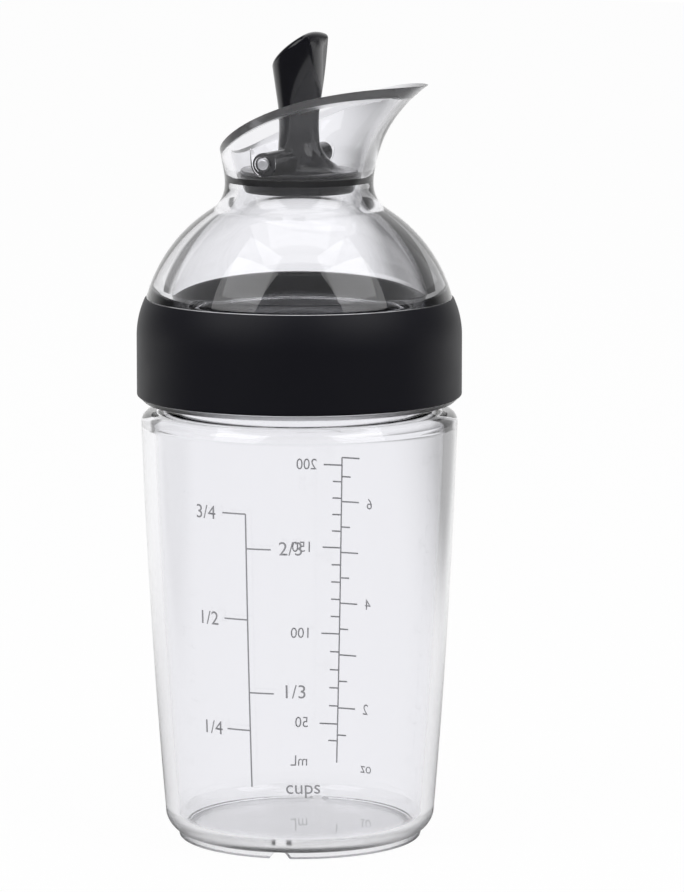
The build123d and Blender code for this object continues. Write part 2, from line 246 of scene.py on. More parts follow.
class StageSizes(PropertyGroup):
    """Camera, lights and floor."""

    distance: length("Distance", "Horizontal distance of the camera", 1050.0)
    camera_height: length("Camera height", "Height of the camera", 237.0)
    aim_height: length("Aim height", "Height at which the camera aims", 84.0)
    aim_side: length("Aim side", "How far to its right the camera aims", 9.04)
    azimuth: turn("Azimuth", "Direction of the camera, from the front towards the spout", 26.0)
    lens: number("Lens", "Focal length in millimetres", 201.27)
    floor_half: length("Floor half", "Half of the floor's side", 3000.0)
    floor_white: number("Floor white", "Share of plain white in the floor as it is seen", 0.97)
    floor_fade: number("Floor fade", "Dimming of the floor's far right through clear plastic", 0.65)
    side_fade: number("Side fade", "Dimming of the backdrop's two sides through clear plastic", 0.92)
    front_fade: number("Front fade", "Dimming of the room before the object through clear plastic", 0.4)
    gloss_level: number("Gloss level", "Brightness of the backdrop in glossy reflections", 0.12)
    world_level: number("World level", "Brightness of the surroundings as light", 0.4)


class Finishes(PropertyGroup):
    """Colours of the finishes."""

    clear: colour("Clear plastic", "Tint of the clear plastic", (0.943, 0.943, 0.963))
    band: colour("Band", "Soft rubber of the grip band", (0.0035, 0.0035, 0.0085))
    lever: colour("Lever", "Gloss plastic of the stopper", (0.004, 0.004, 0.007))
    silicone: colour("Silicone", "Silicone of the gasket", (0.9, 0.9, 0.92))
    seal: colour("Seal", "Silicone of the stopper's seal", (0.008, 0.008, 0.009))
    steel: colour("Steel", "Steel of the hinge pin", (0.62, 0.62, 0.63))
    near_ink: colour("Cup ink", "Ink of the cup scale", (0.32, 0.32, 0.34))
    far_ink: colour("Volume ink", "Ink of the volume scale", (0.5, 0.5, 0.52))


# Outlines in the plane of radius and height

def unit(x, z):
    """A direction of length one."""
    size = math.hypot(x, z)
    return x / size, z / size


def arc(centre, radius, start, end, steps):
    """Points along an arc between two angles."""
    return [
        (centre[0] + radius * math.cos(a), centre[1] + radius * math.sin(a))
        for a in (start + (end - start) * i / steps for i in range(steps + 1))
    ]


def bow(p, q, radius, steps, left=True):
    """Points along the short arc from p to q, with its centre to the left or right of the way."""
    half = math.hypot(q[0] - p[0], q[1] - p[1]) / 2
    ux, uz = unit(q[0] - p[0], q[1] - p[1])
    away = math.sqrt(radius * radius - half * half) * (1 if left else -1)
    centre = ((p[0] + q[0]) / 2 - uz * away, (p[1] + q[1]) / 2 + ux * away)
    start = math.atan2(p[1] - centre[1], p[0] - centre[0])
    sweep = math.atan2(q[1] - centre[1], q[0] - centre[0]) - start
    sweep = (sweep + math.pi) % math.tau - math.pi
    return arc(centre, radius, start, start + sweep, steps), centre


def rounded(corners, steps=8):
    """An outline through (radius, height, rounding) corners, with a guard point beside each arc."""
    path = []
    for i, (x, z, r) in enumerate(corners):
        if r <= 0 or i in (0, len(corners) - 1):
            path.append((x, z))
            continue
        px, pz = corners[i - 1][0] - x, corners[i - 1][1] - z
        nx, nz = corners[i + 1][0] - x, corners[i + 1][1] - z
        ax, az = unit(px, pz)
        bx, bz = unit(nx, nz)
        half = math.acos(max(-1.0, min(1.0, ax * bx + az * bz))) / 2
        reach = r / math.tan(half)
        mx, mz = unit(ax + bx, az + bz)
        centre = (x + mx * r / math.sin(half), z + mz * r / math.sin(half))
        start = math.atan2(z + az * reach - centre[1], x + ax * reach - centre[0])
        sweep = math.atan2(z + bz * reach - centre[1], x + bx * reach - centre[0]) - start
        sweep = (sweep + math.pi) % math.tau - math.pi
        if math.hypot(px, pz) > reach + 2 * GUARD:
            path.append((x + ax * (reach + GUARD), z + az * (reach + GUARD)))
        path += arc(centre, r, start, start + sweep, steps)
        if math.hypot(nx, nz) > reach + 2 * GUARD:
            path.append((x + bx * (reach + GUARD), z + bz * (reach + GUARD)))
    return path


def plain(points):
    """Corners with no rounding."""
    return [(x, z, 0.0) for x, z in points]


def looped(x, z, corners, steps):
    """A closed outline that starts and ends at one point of its inner side."""
    return rounded([(x, z, 0.0)] + corners + [(x, z, 0.0)], steps=steps)


# Modelling helpers

def alone(piece):
    """Makes one object the only selected and active one."""
    if bpy.context.object and bpy.context.object.mode != "OBJECT":
        bpy.ops.object.mode_set(mode="OBJECT")
    bpy.ops.object.select_all(action="DESELECT")
    piece.select_set(True)
    bpy.context.view_layer.objects.active = piece


def named(name):
    """Names the active object and its mesh."""
    piece = bpy.context.object
    piece.name = name
    piece.data.name = name
    return piece


def smooth(piece, degrees=30.0):
    """Smooth shading with edges sharper than an angle kept."""
    alone(piece)
    bpy.ops.object.shade_smooth_by_angle(angle=math.radians(degrees))


def edit_all():
    """Goes to edit mode with the whole active mesh selected."""
    bpy.ops.object.mode_set(mode="EDIT")
    bpy.ops.mesh.select_all(action="SELECT")


def weld(piece, distance=WELD):
    """Merges doubled vertices and points every face outwards."""
    alone(piece)
    edit_all()
    bpy.ops.mesh.remove_doubles(threshold=distance)
    bpy.ops.mesh.normals_make_consistent(inside=False)
    bpy.ops.object.mode_set(mode="OBJECT")


def drawn(name, points):
    """A line of edges through points, drawn by extruding one vertex again and again."""
    bpy.ops.object.select_all(action="DESELECT")
    bpy.ops.mesh.primitive_plane_add(size=MM)
    piece = named(name)
    edit_all()
    bpy.ops.mesh.merge(type="CENTER")
    bpy.ops.transform.translate(value=points[0])
    for here, there in zip(points, points[1:]):
        way = [b - a for a, b in zip(here, there)]
        bpy.ops.mesh.extrude_vertices_move(TRANSFORM_OT_translate={"value": way})
    bpy.ops.object.mode_set(mode="OBJECT")
    return piece


def turned(name, outline, steps):
    """A turned body: its outline is drawn beside the Z axis and spun all the way round."""
    piece = drawn(name, [(x, 0.0, z) for x, z in outline])
    edit_all()
    bpy.ops.mesh.spin(steps=steps, angle=math.tau, center=(0, 0, 0), axis=(0, 0, 1))
    bpy.ops.object.mode_set(mode="OBJECT")
    weld(piece)
    return piece


def sheeted(name, rows):
    """A closed skin: a grid whose rows are laid along rings of points and whose seams are welded."""
    across, along = len(rows[0]) + 1, len(rows) + 1
    bpy.ops.object.select_all(action="DESELECT")
    bpy.ops.mesh.primitive_grid_add(x_subdivisions=across - 1, y_subdivisions=along - 1, size=1)
    piece = named(name)
    places = []
    for j in range(along):
        row = rows[j % len(rows)]
        for i in range(across):
            places += row[i % len(row)]
    piece.data.vertices.foreach_set("co", places)
    piece.data.update()
    weld(piece)
    return piece


def cut(piece, tool):
    """Cuts a closed tool out of a piece and removes the tool."""
    alone(piece)
    modifier = piece.modifiers.new("Cut", "BOOLEAN")
    modifier.operation = "DIFFERENCE"
    modifier.solver = "EXACT"
    modifier.object = tool
    bpy.ops.object.modifier_apply(modifier=modifier.name)
    alone(tool)
    bpy.ops.object.delete()


def pushed(name, outline, way, depth):
    """A prism: a closed outline, filled and extruded along a way."""
    piece = drawn(name, outline + outline[:1])
    weld(piece)
    edit_all()
    bpy.ops.mesh.edge_face_add()
    move = [depth * w for w in way]
    bpy.ops.mesh.extrude_region_move(TRANSFORM_OT_translate={"value": move})
    bpy.ops.mesh.select_all(action="SELECT")
    bpy.ops.mesh.normals_make_consistent(inside=False)
    bpy.ops.object.mode_set(mode="OBJECT")
    return piece


def cut_across(piece, name, outline, half):
    """Cuts a prism with an outline in X and Z out of a piece, as far to both sides along Y."""
    points = [(x, -half, z) for x, z in outline]
    cut(piece, pushed(name, points, (0, 1, 0), 2 * half))


def smooth_copy(node, name):
    """A welded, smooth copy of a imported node."""
    alone(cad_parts[node])
    bpy.ops.object.duplicate()
    piece = named(name)
    piece.data.materials.clear()
    weld(piece, TIGHT_WELD)
    smooth(piece)
    return piece


def dress(piece, material, body, slot, *nodes):
    """Gives a piece its finish and its body, and hides the imported nodes that it stands for."""
    piece.data.materials.clear()
    piece.data.materials.append(material)
    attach(piece, body)
    if nodes:
        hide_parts(*nodes)


def outward(face):
    """Whether a face looks away from the Z axis."""
    return face.center.x * face.normal.x + face.center.y * face.normal.y > 0


def finish_faces(piece, material, wanted):
    """Gives a second finish to the faces that a test picks."""
    piece.data.materials.append(material)
    for face in piece.data.polygons:
        if wanted(face):
            face.material_index = 1


# Finishes

def maths(tree, operation, *values, clamp=False):
    """Output of a Math node whose inputs are sockets or numbers."""
    node = tree.nodes.new("ShaderNodeMath")
    node.operation = operation
    node.use_clamp = clamp
    for socket, value in zip(node.inputs, values):
        if isinstance(value, (int, float)):
            socket.default_value = value
        else:
            tree.links.new(value, socket)
    return node.outputs[0]


def moulded_group():
    """Shader group: roughness that drifts over a moulded surface, with a fine grain as height."""
    name = "Moulded surface"
    if name in bpy.data.node_groups:
        return bpy.data.node_groups[name]
    group = bpy.data.node_groups.new(name, "ShaderNodeTree")
    for label, value in (
        ("Roughness", 0.2), ("Drift", 0.05), ("Drift Scale", 60.0),
        ("Grain Scale", 2000.0), ("Grain", 0.5), ("Wave Scale", 45.0), ("Wave", 0.5),
    ):
        socket = group.interface.new_socket(name=label, in_out="INPUT", socket_type="NodeSocketFloat")
        socket.default_value = value
    for label in ("Roughness", "Height"):
        group.interface.new_socket(name=label, in_out="OUTPUT", socket_type="NodeSocketFloat")
    nodes, links = group.nodes, group.links
    enter, leave = nodes.new("NodeGroupInput"), nodes.new("NodeGroupOutput")
    place = nodes.new("ShaderNodeTexCoord")

    def noise(scale, detail):
        node = nodes.new("ShaderNodeTexNoise")
        node.inputs["Detail"].default_value = detail
        links.new(place.outputs["Object"], node.inputs["Vector"])
        links.new(enter.outputs[scale], node.inputs["Scale"])
        return node.outputs["Fac"]

    drift = maths(group, "SUBTRACT", noise("Drift Scale", 4.0), 0.5)
    rough = maths(group, "MULTIPLY_ADD", drift, enter.outputs["Drift"], enter.outputs["Roughness"])
    grain = maths(group, "MULTIPLY", noise("Grain Scale", 2.0), enter.outputs["Grain"])
    wave = maths(group, "MULTIPLY", noise("Wave Scale", 1.0), enter.outputs["Wave"])
    links.new(rough, leave.inputs["Roughness"])
    links.new(maths(group, "ADD", grain, wave), leave.inputs["Height"])
    return group


def finish(name, tint, bump=0.0, bump_size=0.02 * MM, surface=None, **sockets):
    """A material: a Principled shader with the moulded surface group and plain socket values."""
    material = bpy.data.materials.new(name)
    material.use_nodes = True
    nodes, links = material.node_tree.nodes, material.node_tree.links
    shader = nodes["Principled BSDF"]
    shader.inputs["Base Color"].default_value = (*tint, 1.0)
    for label, value in sockets.items():
        shader.inputs[label.replace("_", " ")].default_value = value
    group = nodes.new("ShaderNodeGroup")
    group.node_tree = moulded_group()
    for label, value in (surface or {}).items():
        group.inputs[label].default_value = value
    links.new(group.outputs["Roughness"], shader.inputs["Roughness"])
    if bump > 0:
        relief = nodes.new("ShaderNodeBump")
        relief.inputs["Strength"].default_value = bump
        relief.inputs["Distance"].default_value = bump_size
        links.new(group.outputs["Height"], relief.inputs["Height"])
        links.new(relief.outputs["Normal"], shader.inputs["Normal"])
    return material


def clear_plastic(name="Clear plastic", rough=0.012, clear=1.0):
    """Clear plastic that shows what is inside, polished, or satin and a little less clear."""
    if name in bpy.data.materials:
        return bpy.data.materials[name]
    tint = bpy.context.scene.shaker_finishes.clear
    return finish(
        name, tint, bump=0.12, bump_size=0.05 * MM,
        surface={"Roughness": rough, "Drift": 0.012, "Grain": 0.0, "Wave": 1.0, "Wave Scale": 55.0},
        Transmission_Weight=clear, IOR=1.5,
    )


# Bottle

def bottle_side(z, sizes):
    """Outside radius of the bottle's side at a height, on the circle through its three radii."""
    p = (sizes.base_radius, sizes.base_height)
    m = (sizes.side_radius, sizes.side_height)
    q = (sizes.shoulder_radius, sizes.height)
    ax, az, bx, bz = m[0] - p[0], m[1] - p[1], q[0] - p[0], q[1] - p[1]
    d = 2 * (ax * bz - az * bx)
    ux = (bz * (ax * ax + az * az) - az * (bx * bx + bz * bz)) / d
    uz = (ax * (bx * bx + bz * bz) - bx * (ax * ax + az * az)) / d
    radius, centre = math.hypot(ux, uz), (p[0] + ux, p[1] + uz)
    return centre[0] + math.sqrt(radius * radius - (z - centre[1]) ** 2)


def bottle_outline(s):
    """The bottle's half section, from the inside floor's centre round to the underside's."""
    heel_curve, below_shoulder, above_floor = 5.4 * MM, 3.0 * MM, 6.0 * MM
    flat_floor, floor_round, floor_draft = 16.0 * MM, 3.6 * MM, 0.1 * MM
    outer_steps, inner_steps = 30, 24
    low, high = (s.foot_radius, s.foot_height), (s.base_radius, s.base_height)
    heel, _ = bow(low, high, heel_curve, 10)
    side_rise = s.height - below_shoulder - s.base_height
    outside = [
        (bottle_side(z, s), z)
        for z in (s.base_height + side_rise * i / outer_steps for i in range(1, outer_steps + 1))
    ]
    under_shoulder = s.height - s.shoulder_wall
    inner_high = under_shoulder - below_shoulder
    inner_fall = s.floor + above_floor - inner_high
    inside = [
        (bottle_side(z, s) - s.wall, z)
        for z in (inner_high + inner_fall * i / inner_steps for i in range(inner_steps + 1))
    ]
    inner_foot = bottle_side(s.base_height, s) - s.wall - floor_draft
    return rounded(
        plain([(0.0, s.floor), (flat_floor, s.floor)])
        + [(inner_foot, s.floor, floor_round)]
        + plain(reversed(inside))
        + [
            (s.shoulder_radius - s.wall, under_shoulder, 2.2 * MM),
            (s.mouth_bore, under_shoulder, 1.5 * MM),
            (s.mouth_bore, s.mouth_top, 0.3 * MM),
            (s.mouth_radius, s.mouth_top, 0.7 * MM),
            (s.mouth_radius, s.height, 0.6 * MM),
            (s.shoulder_radius, s.height, 2.4 * MM),
        ]
        + plain(reversed(outside))
        + plain(reversed(heel))
        + [
            (s.foot_radius, 0.0, 0.4 * MM),
            (s.foot_radius - s.foot_width, 0.0, 0.3 * MM),
            (s.foot_radius - s.foot_width, s.foot_height, 0.3 * MM),
            (0.0, s.foot_height, 0.0),
        ]
    )


class SHAKER_OT_bottle(Operator):
    """Turns the bottle's body and cuts the drain notches into its foot"""

    bl_idname = "shaker.bottle"
    bl_label = "Bottle"

    def execute(self, context):
        s = context.scene.shaker_bottle
        piece = turned("bottle_body", bottle_outline(s), s.steps)
        slope, crest = 0.95 * MM, 0.05 * MM
        half = s.notch_width / 2
        near, far = s.foot_radius - s.foot_width - 0.6 * MM, s.foot_radius + 1.4 * MM
        outline = [
            (-half - slope, -MM), (half + slope, -MM), (half - slope, s.foot_height),
            (0.0, s.foot_height + crest), (slope - half, s.foot_height),
        ]
        for turn_by in (s.notch_turn, s.notch_turn + math.pi):
            cos, sin = math.cos(turn_by), math.sin(turn_by)
            points = [(near * cos - y * sin, near * sin + y * cos, z) for y, z in outline]
            cut(piece, pushed("notch_tool", points, (cos, sin, 0), far - near))
        smooth(piece)
        dress(piece, clear_plastic(), "bottle", "clear_plastic", "bottle")
        above_foot = s.foot_height + 0.1 * MM

        def on_foot(face):
            return face.center.z < (s.base_height if outward(face) else above_foot)

        finish_faces(piece, clear_plastic("Clear plastic foot", rough=0.25, clear=0.96), on_foot)
        return {"FINISHED"}


# Lid with its spout

def egg(turn_by, side, front, spout):
    """Point of the spout's egg-shaped section whose outward direction is an angle."""
    angle = spout.nose_angle
    stretch = math.cos(angle) / (1 - math.sin(angle))
    nose = (side * stretch - front) / (stretch - 1)
    cos, sin = math.cos(turn_by), math.sin(turn_by)
    if cos <= 0:
        return side * cos, side * sin
    if abs(sin) < math.sin(angle):
        return front - nose + nose * cos, nose * sin
    flank = (front - nose + nose * math.cos(angle)) / math.cos(angle)
    return flank * cos, (side - flank) * math.copysign(1, sin) + flank * sin


def spout_size(share, spout, lid):
    """Half width and front reach of the spout's outside at a share of its height."""
    share = max(share, 0.0)
    side = lid.neck_radius + spout.side_flare * share**spout.side_power
    return side, side + spout.tip_flare * share**spout.tip_power


def spout_bore(share, spout, lid, low_share):
    """Half width and front reach of its inside, one wall in, square to the flare."""
    side, front = spout_size(share, spout, lid)
    low_side, low_front = spout_size(low_share, spout, lid)
    fade_share = (share - low_share) / (1 - low_share)
    wall = (low_side - spout.pin_bore) * (1 - fade_share) + spout.wall * fade_share
    side_slope = spout.side_flare * spout.side_power * share ** (spout.side_power - 1)
    nose_slope = side_slope + spout.tip_flare * spout.tip_power * share ** (spout.tip_power - 1)
    side_wall = wall * math.hypot(1, fade_share * side_slope / spout.height)
    front_wall = wall * math.hypot(1, fade_share * nose_slope / spout.height)
    return side - side_wall, front - front_wall - (low_front - low_side) * (1 - fade_share)


def rim_height(x, spout, lid):
    """Height of the rim's curve above the seal at a place along X."""
    rear = spout_size(spout.rear_height / spout.height, spout, lid)[0]
    tip = spout_size(1.0, spout, lid)[1]
    _, centre = bow((-rear, spout.rear_height), (tip, spout.height), spout.rim_curve, 1, left=False)
    return centre[1] + math.sqrt(spout.rim_curve**2 - (x - centre[0]) ** 2)


def rim_share(turn_by, spout, lid, size_at):
    """Share of the height at which one side of the spout's wall meets the rim."""
    low, high = 0.0, 1.3
    for _ in range(40):
        middle = (low + high) / 2
        x = egg(turn_by, *size_at(middle), spout)[0]
        if middle * spout.height < rim_height(x, spout, lid):
            low = middle
        else:
            high = middle
    return (low + high) / 2


def dome_and_throat(foot, root, curve, fillet):
    """A dome's arc from its foot up to where an arc of the throat leads into the upright neck."""
    _, centre = bow(foot, root, curve, 1)
    x = root[0] + fillet
    z = centre[1] + math.sqrt((curve + fillet) ** 2 - (x - centre[0]) ** 2)
    start = math.atan2(foot[1] - centre[1], foot[0] - centre[0])
    toward = math.atan2(z - centre[1], x - centre[0])
    dome = arc(centre, curve, start, toward, DOME_STEPS)
    return dome + arc((x, z), fillet, toward + math.pi, math.pi, THROAT_STEPS)[1:]


def lid_lower(s):
    """Half section of the lid below the spout: outside up to the seal, and inside back down."""
    outer_foot, outer_root = (s.dome_radius, s.seat_top), (s.neck_radius, s.neck_root)
    outer = dome_and_throat(outer_foot, outer_root, s.dome_curve, s.throat_round)
    inner_foot, inner_root = (s.land_radius, s.land_top), (s.bore, s.inner_root)
    inner = dome_and_throat(inner_foot, inner_root, s.inner_curve, s.throat_inner)
    outside = rounded(
        [
            (s.skirt_bore, s.bottom + 2.0 * MM, 0.0),
            (s.skirt_bore, s.bottom, 0.2 * MM),
            (s.lip_edge, s.bottom, 0.6 * MM),
            (s.lip_radius, s.seat_bottom, 0.15 * MM),
            (s.seat_radius, s.seat_bottom, 0.1 * MM),
            (s.seat_radius, s.seat_top, 0.1 * MM),
            (s.dome_radius, s.seat_top, 0.12 * MM),
        ]
        + plain(outer[1:] + [(s.neck_radius, s.seal_height - GUARD)]),
        steps=5,
    )
    inside = rounded(
        plain([(s.bore, s.seat_foot)] + inner[::-1])
        + [
            (s.land_radius, s.ledge, 0.3 * MM),
            (s.skirt_bore, s.ledge, 0.4 * MM),
            (s.skirt_bore, s.bottom + 6.0 * MM, 0.0),
        ],
        steps=5,
    )
    return outside, inside


def seat_radius(z, s, spout, hinge):
    """Radius of the seal's tapered seat at a height."""
    share = (z - s.seat_foot) / (hinge.pin_height - s.seat_foot)
    return s.bore + (spout.pin_bore - s.bore) * share


def bend(start, corner, end, t):
    """Point of a curve that leaves one point towards a corner and ends at another point."""
    return (1 - t) ** 2 * start + 2 * t * (1 - t) * corner + t * t * end


def lid_rows(s, spout, hinge):
    """Rings of points that go up the lid's outside, over the rim and down its inside."""
    turns = [math.tau * (i + 0.5) / s.steps for i in range(s.steps)]
    outside, inside = lid_lower(s)
    low_share = (hinge.pin_height - s.seal_height) / spout.height

    def ring(radius, z):
        return [(radius * math.cos(a), radius * math.sin(a), z) for a in turns]

    def outer_size(share):
        return spout_size(share, spout, s)

    def inner_size(share):
        return spout_bore(max(share, low_share), spout, s, low_share)

    def place(a, share, size_at):
        x, y = egg(a, *size_at(share), spout)
        return Vector((x, y, s.seal_height + share * spout.height))

    drop_share = spout.rim_round / spout.height
    shares = (0.2, 0.4, 0.6, 0.8, 1.0)
    columns = []
    for a in turns:
        outer_top = rim_share(a, spout, s, outer_size)
        inner_top = rim_share(a, spout, s, inner_size) - spout.rim_bevel / spout.height
        edge_out, edge_in = place(a, outer_top, outer_size), place(a, inner_top, inner_size)
        below_out = place(a, outer_top - drop_share, outer_size)
        below_in = place(a, inner_top - drop_share, inner_size)
        across = (edge_in - edge_out).normalized() * spout.rim_round
        rise, top = outer_top - drop_share, inner_top - drop_share
        column = [place(a, rise * i / SPOUT_STEPS, outer_size) for i in range(SPOUT_STEPS + 1)]
        column += [bend(below_out, edge_out, edge_out + across, t) for t in shares]
        column.append((edge_out + edge_in) / 2)
        column += [bend(edge_in - across, edge_in, below_in, t) for t in (0.0, *shares)]
        for i in range(1, SPOUT_STEPS + 1):
            column.append(place(a, top + (low_share - top) * i / SPOUT_STEPS, inner_size))
        columns.append(column)
    rows = [ring(x, z) for x, z in outside]
    rows += [[tuple(column[j]) for column in columns] for j in range(len(columns[0]))]
    seat = hinge.pin_height - s.seat_foot
    heights = [s.seat_foot + seat * i / SEAT_STEPS for i in range(SEAT_STEPS - 1, 0, -1)]
    rows += [ring(seat_radius(z, s, spout, hinge), z) for z in heights]
    rows += [ring(x, z) for x, z in inside]
    return rows


class SHAKER_OT_lid(Operator):
    """Lays the lid's skin from skirt to spout and cuts the hinge channels"""

    bl_idname = "shaker.lid"
    bl_label = "Lid"

    def execute(self, context):
        s, spout = context.scene.shaker_lid, context.scene.shaker_spout
        hinge = context.scene.shaker_hinge
        piece = sheeted("lid_clear", lid_rows(s, spout, hinge))
        x, z, top = -hinge.pin_back, hinge.pin_height, hinge.pin_height + spout.height
        channel = arc((x, z), hinge.channel_radius, math.pi, math.tau, 24)
        channel += [(x + hinge.channel_radius, top), (x - hinge.channel_radius, top)]
        cut_across(piece, "channel_tool", channel, hinge.channel_half)
        dimple = arc((x, z), hinge.dimple_radius, 0.0, math.tau, 32)[:-1]
        cut_across(piece, "dimple_tool", dimple, hinge.dimple_half)
        smooth(piece)
        dress(piece, clear_plastic(), "lid", "clear_plastic", "lid_shell")
        rim_depth, lip_top, upward = spout.rim_bevel + spout.rim_round, s.seat_bottom + 0.05 * MM, 0.3

        def on_rim_or_lip(face):
            below = rim_height(face.center.x, spout, s) - (face.center.z - s.seal_height)
            rim = face.normal.z > upward and below < rim_depth
            return rim or (face.center.z < lip_top and outward(face))

        finish_faces(piece, clear_plastic("Clear plastic rim", rough=0.32, clear=0.93), on_rim_or_lip)
        return {"FINISHED"}


# Band and gasket

class SHAKER_OT_band(Operator):
    """Turns the soft grip band and the clear gasket"""

    bl_idname = "shaker.band"
    bl_label = "Band and gasket"

    def execute(self, context):
        s, tints = context.scene.shaker_band, context.scene.shaker_finishes
        z = s.bottom + s.straight
        rise, lean = s.top - z, s.outer - s.top_radius
        radius = (rise * rise + lean * lean) / (2 * lean)
        end = math.asin(rise / radius)
        crown = arc((s.outer - radius, z), radius, 0.0, end, 16)
        corners = [(s.inner, s.bottom, 0.2 * MM), (s.outer, s.bottom, s.edge)]
        corners += plain(crown[:-1])
        corners += [(s.top_radius, s.top, 0.1 * MM), (s.inner, s.top, 0.15 * MM)]
        outline = looped(s.inner, s.bottom + 2 * MM, corners, 6)
        piece = turned("grip_ring", outline, RING_STEPS)
        smooth(piece)
        rubber = finish(
            "Soft rubber", tints.band, bump=0.25, bump_size=0.03 * MM,
            surface={"Roughness": 0.5, "Drift": 0.12, "Drift Scale": 90.0, "Grain": 1.0,
                     "Grain Scale": 2600.0, "Wave": 0.0},
            IOR=1.4,
        )
        dress(piece, rubber, "lid", "soft_black", "grip_band")
        inner, outer, low, high = s.gasket_inner, s.gasket_outer, s.gasket_bottom, s.gasket_top
        corners = [(inner, low), (outer, low), (outer, high), (inner, high)]
        corners = [(x, z, 0.5 * MM) for x, z in corners]
        piece = turned("gasket_ring", looped(inner, low + 0.9 * MM, corners, 5), RING_STEPS)
        smooth(piece)
        silicone = finish(
            "Clear silicone", tints.silicone, bump=0.1,
            surface={"Roughness": 0.12, "Drift": 0.06, "Grain": 0.4, "Wave": 0.2},
            Transmission_Weight=1.0, IOR=1.41,
        )
        dress(piece, silicone, "gasket", "clear_silicone", "lid_gasket")
        return {"FINISHED"}


# Stopper

class SHAKER_OT_stopper(Operator):
    """Dresses the lever and its cap, and turns the seal and the hinge pin"""

    bl_idname = "shaker.stopper"
    bl_label = "Stopper"

    def execute(self, context):
        s, tints = context.scene.shaker_hinge, context.scene.shaker_finishes
        gloss = finish(
            "Gloss black plastic", tints.lever, bump=0.1,
            surface={"Roughness": 0.13, "Drift": 0.06, "Grain": 0.1, "Wave": 0.6, "Wave Scale": 120.0},
            IOR=1.5,
        )
        for node, name in (("stopper_lever", "lever_body"), ("seal_cap", "lower_cap")):
            dress(smooth_copy(node, name), gloss, "stopper", "gloss_black", node)
        low_radius, top_radius = (
            seat_radius(z, context.scene.shaker_lid, context.scene.shaker_spout, s) + s.seal_lap
            for z in (s.seal_bottom, s.seal_top)
        )
        corners = [
            (s.seal_inner, s.seal_bottom, 0.1 * MM), (low_radius, s.seal_bottom, 0.1 * MM),
            (top_radius, s.seal_top, 0.15 * MM), (s.seal_inner, s.seal_top, 0.1 * MM),
        ]
        outline = looped(s.seal_inner, s.seal_bottom + 0.8 * MM, corners, 5)
        piece = turned("seal_lip", outline, RING_STEPS)
        smooth(piece)
        rubber = finish(
            "Black silicone", tints.seal, bump=0.1,
            surface={"Roughness": 0.35, "Drift": 0.08, "Grain": 0.5, "Wave": 0.2}, IOR=1.41,
        )
        dress(piece, rubber, "stopper", "black_silicone", "stopper_seal")
        half, dome, end_radius = s.pin_half, 0.6 * MM, 0.7 * s.pin_radius
        outline = rounded(
            [
                (0.0, -half, 0.0), (end_radius, -half, 0.5 * MM),
                (s.pin_radius, dome - half, 0.3 * MM), (s.pin_radius, half - dome, 0.3 * MM),
                (end_radius, half, 0.5 * MM), (0.0, half, 0.0),
            ],
            steps=5,
        )
        piece = turned("steel_pin", outline, PIN_STEPS)
        for vertex in piece.data.vertices:
            x, y, z = vertex.co
            vertex.co = (x - s.pin_back, z, y + s.pin_height)
        weld(piece)
        smooth(piece)
        steel = finish(
            "Steel", tints.steel, bump=0.2,
            surface={"Roughness": 0.24, "Drift": 0.12, "Drift Scale": 700.0, "Grain": 0.8, "Wave": 0.0},
            Metallic=1.0,
        )
        dress(piece, steel, "stopper", "steel", "hinge_pin")
        return {"FINISHED"}


# Printed scales

def wrapped(piece, turn_by, sizes, skin):
    """Lays a flat mesh of (way round, height) on the bottle's side and gives it a thin skin."""
    proud = 0.2 * skin
    for vertex in piece.data.vertices:
        u, z = vertex.co.x, vertex.co.y
        radius = bottle_side(z, sizes) + proud
        a = turn_by + u / radius
        vertex.co = (radius * math.cos(a), radius * math.sin(a), z)
    alone(piece)
    modifier = piece.modifiers.new("Skin", "SOLIDIFY")
    modifier.thickness = skin
    modifier.offset = -1.0
    bpy.ops.object.modifier_apply(modifier=modifier.name)


def strip(name, left, right, low, high, steps_across, steps_up):
    """A flat strip of ink between two sides and two heights."""
    bpy.ops.object.select_all(action="DESELECT")
    bpy.ops.mesh.primitive_grid_add(x_subdivisions=steps_across, y_subdivisions=steps_up, size=1)
    piece = named(name)
    for vertex in piece.data.vertices:
        vertex.co.x = left + (vertex.co.x + 0.5) * (right - left)
        vertex.co.y = low + (vertex.co.y + 0.5) * (high - low)
    return piece


def figure(name, text, size, u, z):
    """Flat lettering whose middle lies at a way round and a height."""
    bpy.ops.object.select_all(action="DESELECT")
    bpy.ops.object.text_add()
    piece = bpy.context.object
    piece.data.body = text
    piece.data.size = size
    piece.data.align_x = "CENTER"
    piece.data.align_y = "CENTER"
    piece.data.resolution_u = 4
    bpy.ops.object.convert(target="MESH")
    piece = named(name)
    for vertex in piece.data.vertices:
        vertex.co.x += u
        vertex.co.y += z
    return piece


def joined(name, parts):
    """Joins flat parts into one mesh."""
    alone(parts[0])
    for part in parts:
        part.select_set(True)
    bpy.ops.object.join()
    return named(name)


def scale(name, ink, turn_by, sizes, look, line, marks, words, text_size):
    """One printed scale: a line, its marks and its figures, in millimetres from the line."""
    half = look.line / 2
    top, bottom = line
    parts = [strip("line", -half, half, bottom * MM, top * MM, 1, 40)]
    for z, start, end in marks:
        parts.append(strip("mark", start * MM, end * MM, z * MM - half, z * MM + half, 8, 1))
    for text, u, z in words:
        parts.append(figure("figure", text, text_size, u * MM, z * MM))
    piece = joined(name, parts)
    wrapped(piece, turn_by, sizes, look.skin)
    dress(piece, ink, "bottle", None)
    return piece


